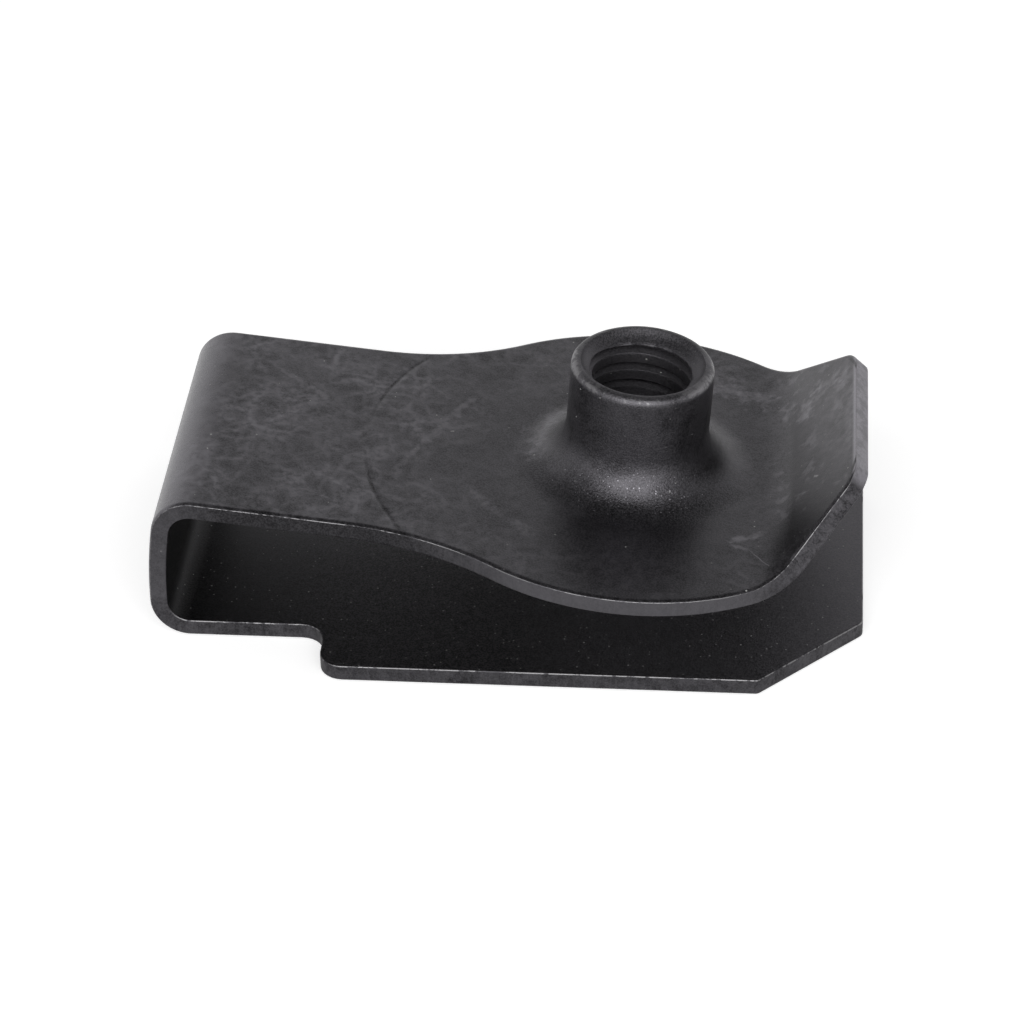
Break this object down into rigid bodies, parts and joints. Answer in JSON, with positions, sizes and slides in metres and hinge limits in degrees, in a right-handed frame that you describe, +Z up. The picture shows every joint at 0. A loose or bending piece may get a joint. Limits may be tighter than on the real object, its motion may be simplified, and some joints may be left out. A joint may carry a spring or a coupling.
{
  "type": "u clip speed nut",
  "caption": "Folded spring-steel clip that slides over a panel edge and holds a screw in a tapped collar drawn from its upper leaf.",
  "frame": {"origin": "centre of the footprint, on the underside of the lower leaf", "axes": "+X from the fold to the open mouth, Y across the strip, +Z up from the lower leaf to the collar"},
  "size_m": [0.0356, 0.024, 0.0121],
  "materials": {
    "phosphated_steel": "black phosphate on spring steel, satin, rubbed brighter along the edges"
  },
  "bodies": {
    "root": {"u_clip": "phosphated_steel"}
  },
  "joints": []
}
